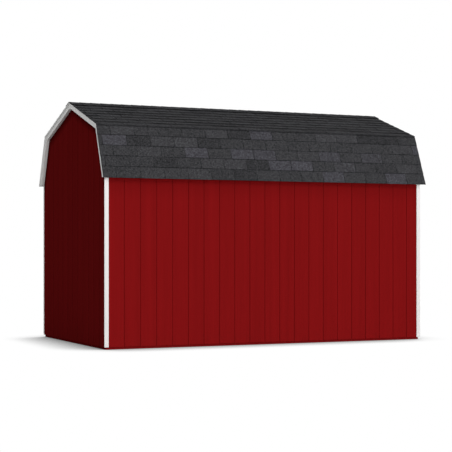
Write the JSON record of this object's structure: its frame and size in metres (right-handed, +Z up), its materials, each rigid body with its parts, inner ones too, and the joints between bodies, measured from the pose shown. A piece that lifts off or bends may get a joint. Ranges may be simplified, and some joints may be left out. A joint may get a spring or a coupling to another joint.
{
  "type": "gambrel barn",
  "caption": "Wood-framed storage barn with grooved red siding, white corner and rake boards and a two-pitch gambrel roof in dark shingles.",
  "frame": {"origin": "centre of the barn's footprint, at ground level", "axes": "+X along the ridge towards the front gable, +Y towards the right long wall, +Z up"},
  "size_m": [4.391, 2.602, 2.9973],
  "materials": {
    "red_siding": "satin red paint on embossed, vertically grooved panel siding",
    "painted_sole": "red paint on sawn lumber",
    "white_trim": "satin white paint on planed boards",
    "white_edging": "white coating on bent sheet metal",
    "framing_lumber": "bare sawn softwood",
    "panel_board": "bare wood panel",
    "roof_shingles": "mineral granules on asphalt shingles, dark grey with bluish tabs"
  },
  "bodies": {
    "root": {"left_sole_plate": "painted_sole", "right_sole_plate": "painted_sole", "front_sole_plate": "painted_sole", "rear_sole_plate": "painted_sole", "left_studs": "framing_lumber", "right_studs": "framing_lumber", "front_studs": "framing_lumber", "rear_studs": "framing_lumber", "left_top_plate": "framing_lumber", "right_top_plate": "framing_lumber", "left_lower_rafters": "framing_lumber", "left_upper_rafters": "framing_lumber", "right_upper_rafters": "framing_lumber", "right_lower_rafters": "framing_lumber", "knee_gussets": "panel_board", "ridge_gussets": "panel_board", "left_siding": "red_siding", "right_siding": "red_siding", "front_siding": "red_siding", "rear_siding": "red_siding", "left_front_corner_board": "white_trim", "right_front_corner_board": "white_trim", "left_rear_corner_board": "white_trim", "right_rear_corner_board": "white_trim", "left_soffit": "white_trim", "right_soffit": "white_trim", "left_lower_deck": "panel_board", "left_upper_deck": "panel_board", "right_upper_deck": "panel_board", "right_lower_deck": "panel_board", "front_left_lower_rake": "white_trim", "front_left_upper_rake": "white_trim", "front_right_upper_rake": "white_trim", "front_right_lower_rake": "white_trim", "rear_left_lower_rake": "white_trim", "rear_left_upper_rake": "white_trim", "rear_right_upper_rake": "white_trim", "rear_right_lower_rake": "white_trim", "left_lower_shingles": "roof_shingles", "left_upper_shingles": "roof_shingles", "right_upper_shingles": "roof_shingles", "right_lower_shingles": "roof_shingles", "ridge_cap": "roof_shingles", "front_rake_edge": "white_edging", "rear_rake_edge": "white_edging"}
  },
  "joints": []
}
